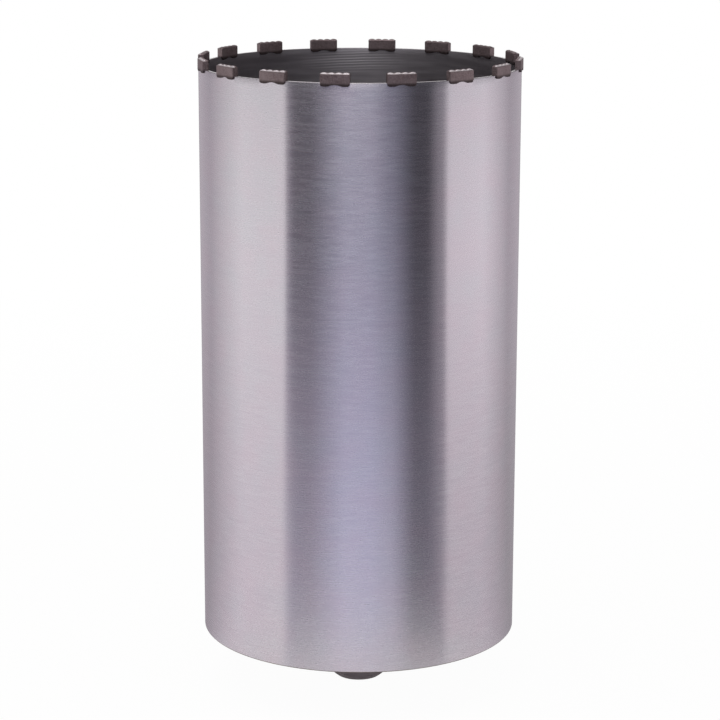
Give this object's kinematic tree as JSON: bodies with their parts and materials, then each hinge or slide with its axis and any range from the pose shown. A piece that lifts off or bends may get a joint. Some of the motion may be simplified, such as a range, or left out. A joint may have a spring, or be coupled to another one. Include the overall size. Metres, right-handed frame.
{
  "type": "diamond core bit",
  "caption": "Thin-walled steel barrel closed by a welded plate and hex hub with a tapped bore, its open rim carrying crowned diamond segments whose feet sit in pockets.",
  "frame": {"origin": "centre of the hub's flat end face, on the axis", "axes": "+Z along the axis from the hub towards the segments; -Y is the side that faces the picture's camera"},
  "size_m": [0.252, 0.252, 0.506],
  "materials": {
    "barrel_steel": "steel tube ground and brushed round its outside, dark and plain inside",
    "plate_steel": "turned steel plate, dulled by handling",
    "hub_steel": "turned and milled steel, dark grey-brown",
    "weld_steel": "weld bead, rippled and brushed",
    "segment_metal": "sintered metal with diamond grit, warm grey-brown and finely grained"
  },
  "bodies": {
    "root": {"tube": "barrel_steel", "end_plate": "plate_steel", "plate_weld": "weld_steel", "hub": "hub_steel", "hub_weld": "weld_steel", "segment_01": "segment_metal", "segment_02": "segment_metal", "segment_03": "segment_metal", "segment_04": "segment_metal", "segment_05": "segment_metal", "segment_06": "segment_metal", "segment_07": "segment_metal", "segment_08": "segment_metal", "segment_09": "segment_metal", "segment_10": "segment_metal", "segment_11": "segment_metal", "segment_12": "segment_metal", "segment_13": "segment_metal", "segment_14": "segment_metal", "segment_15": "segment_metal", "segment_16": "segment_metal"}
  },
  "joints": []
}
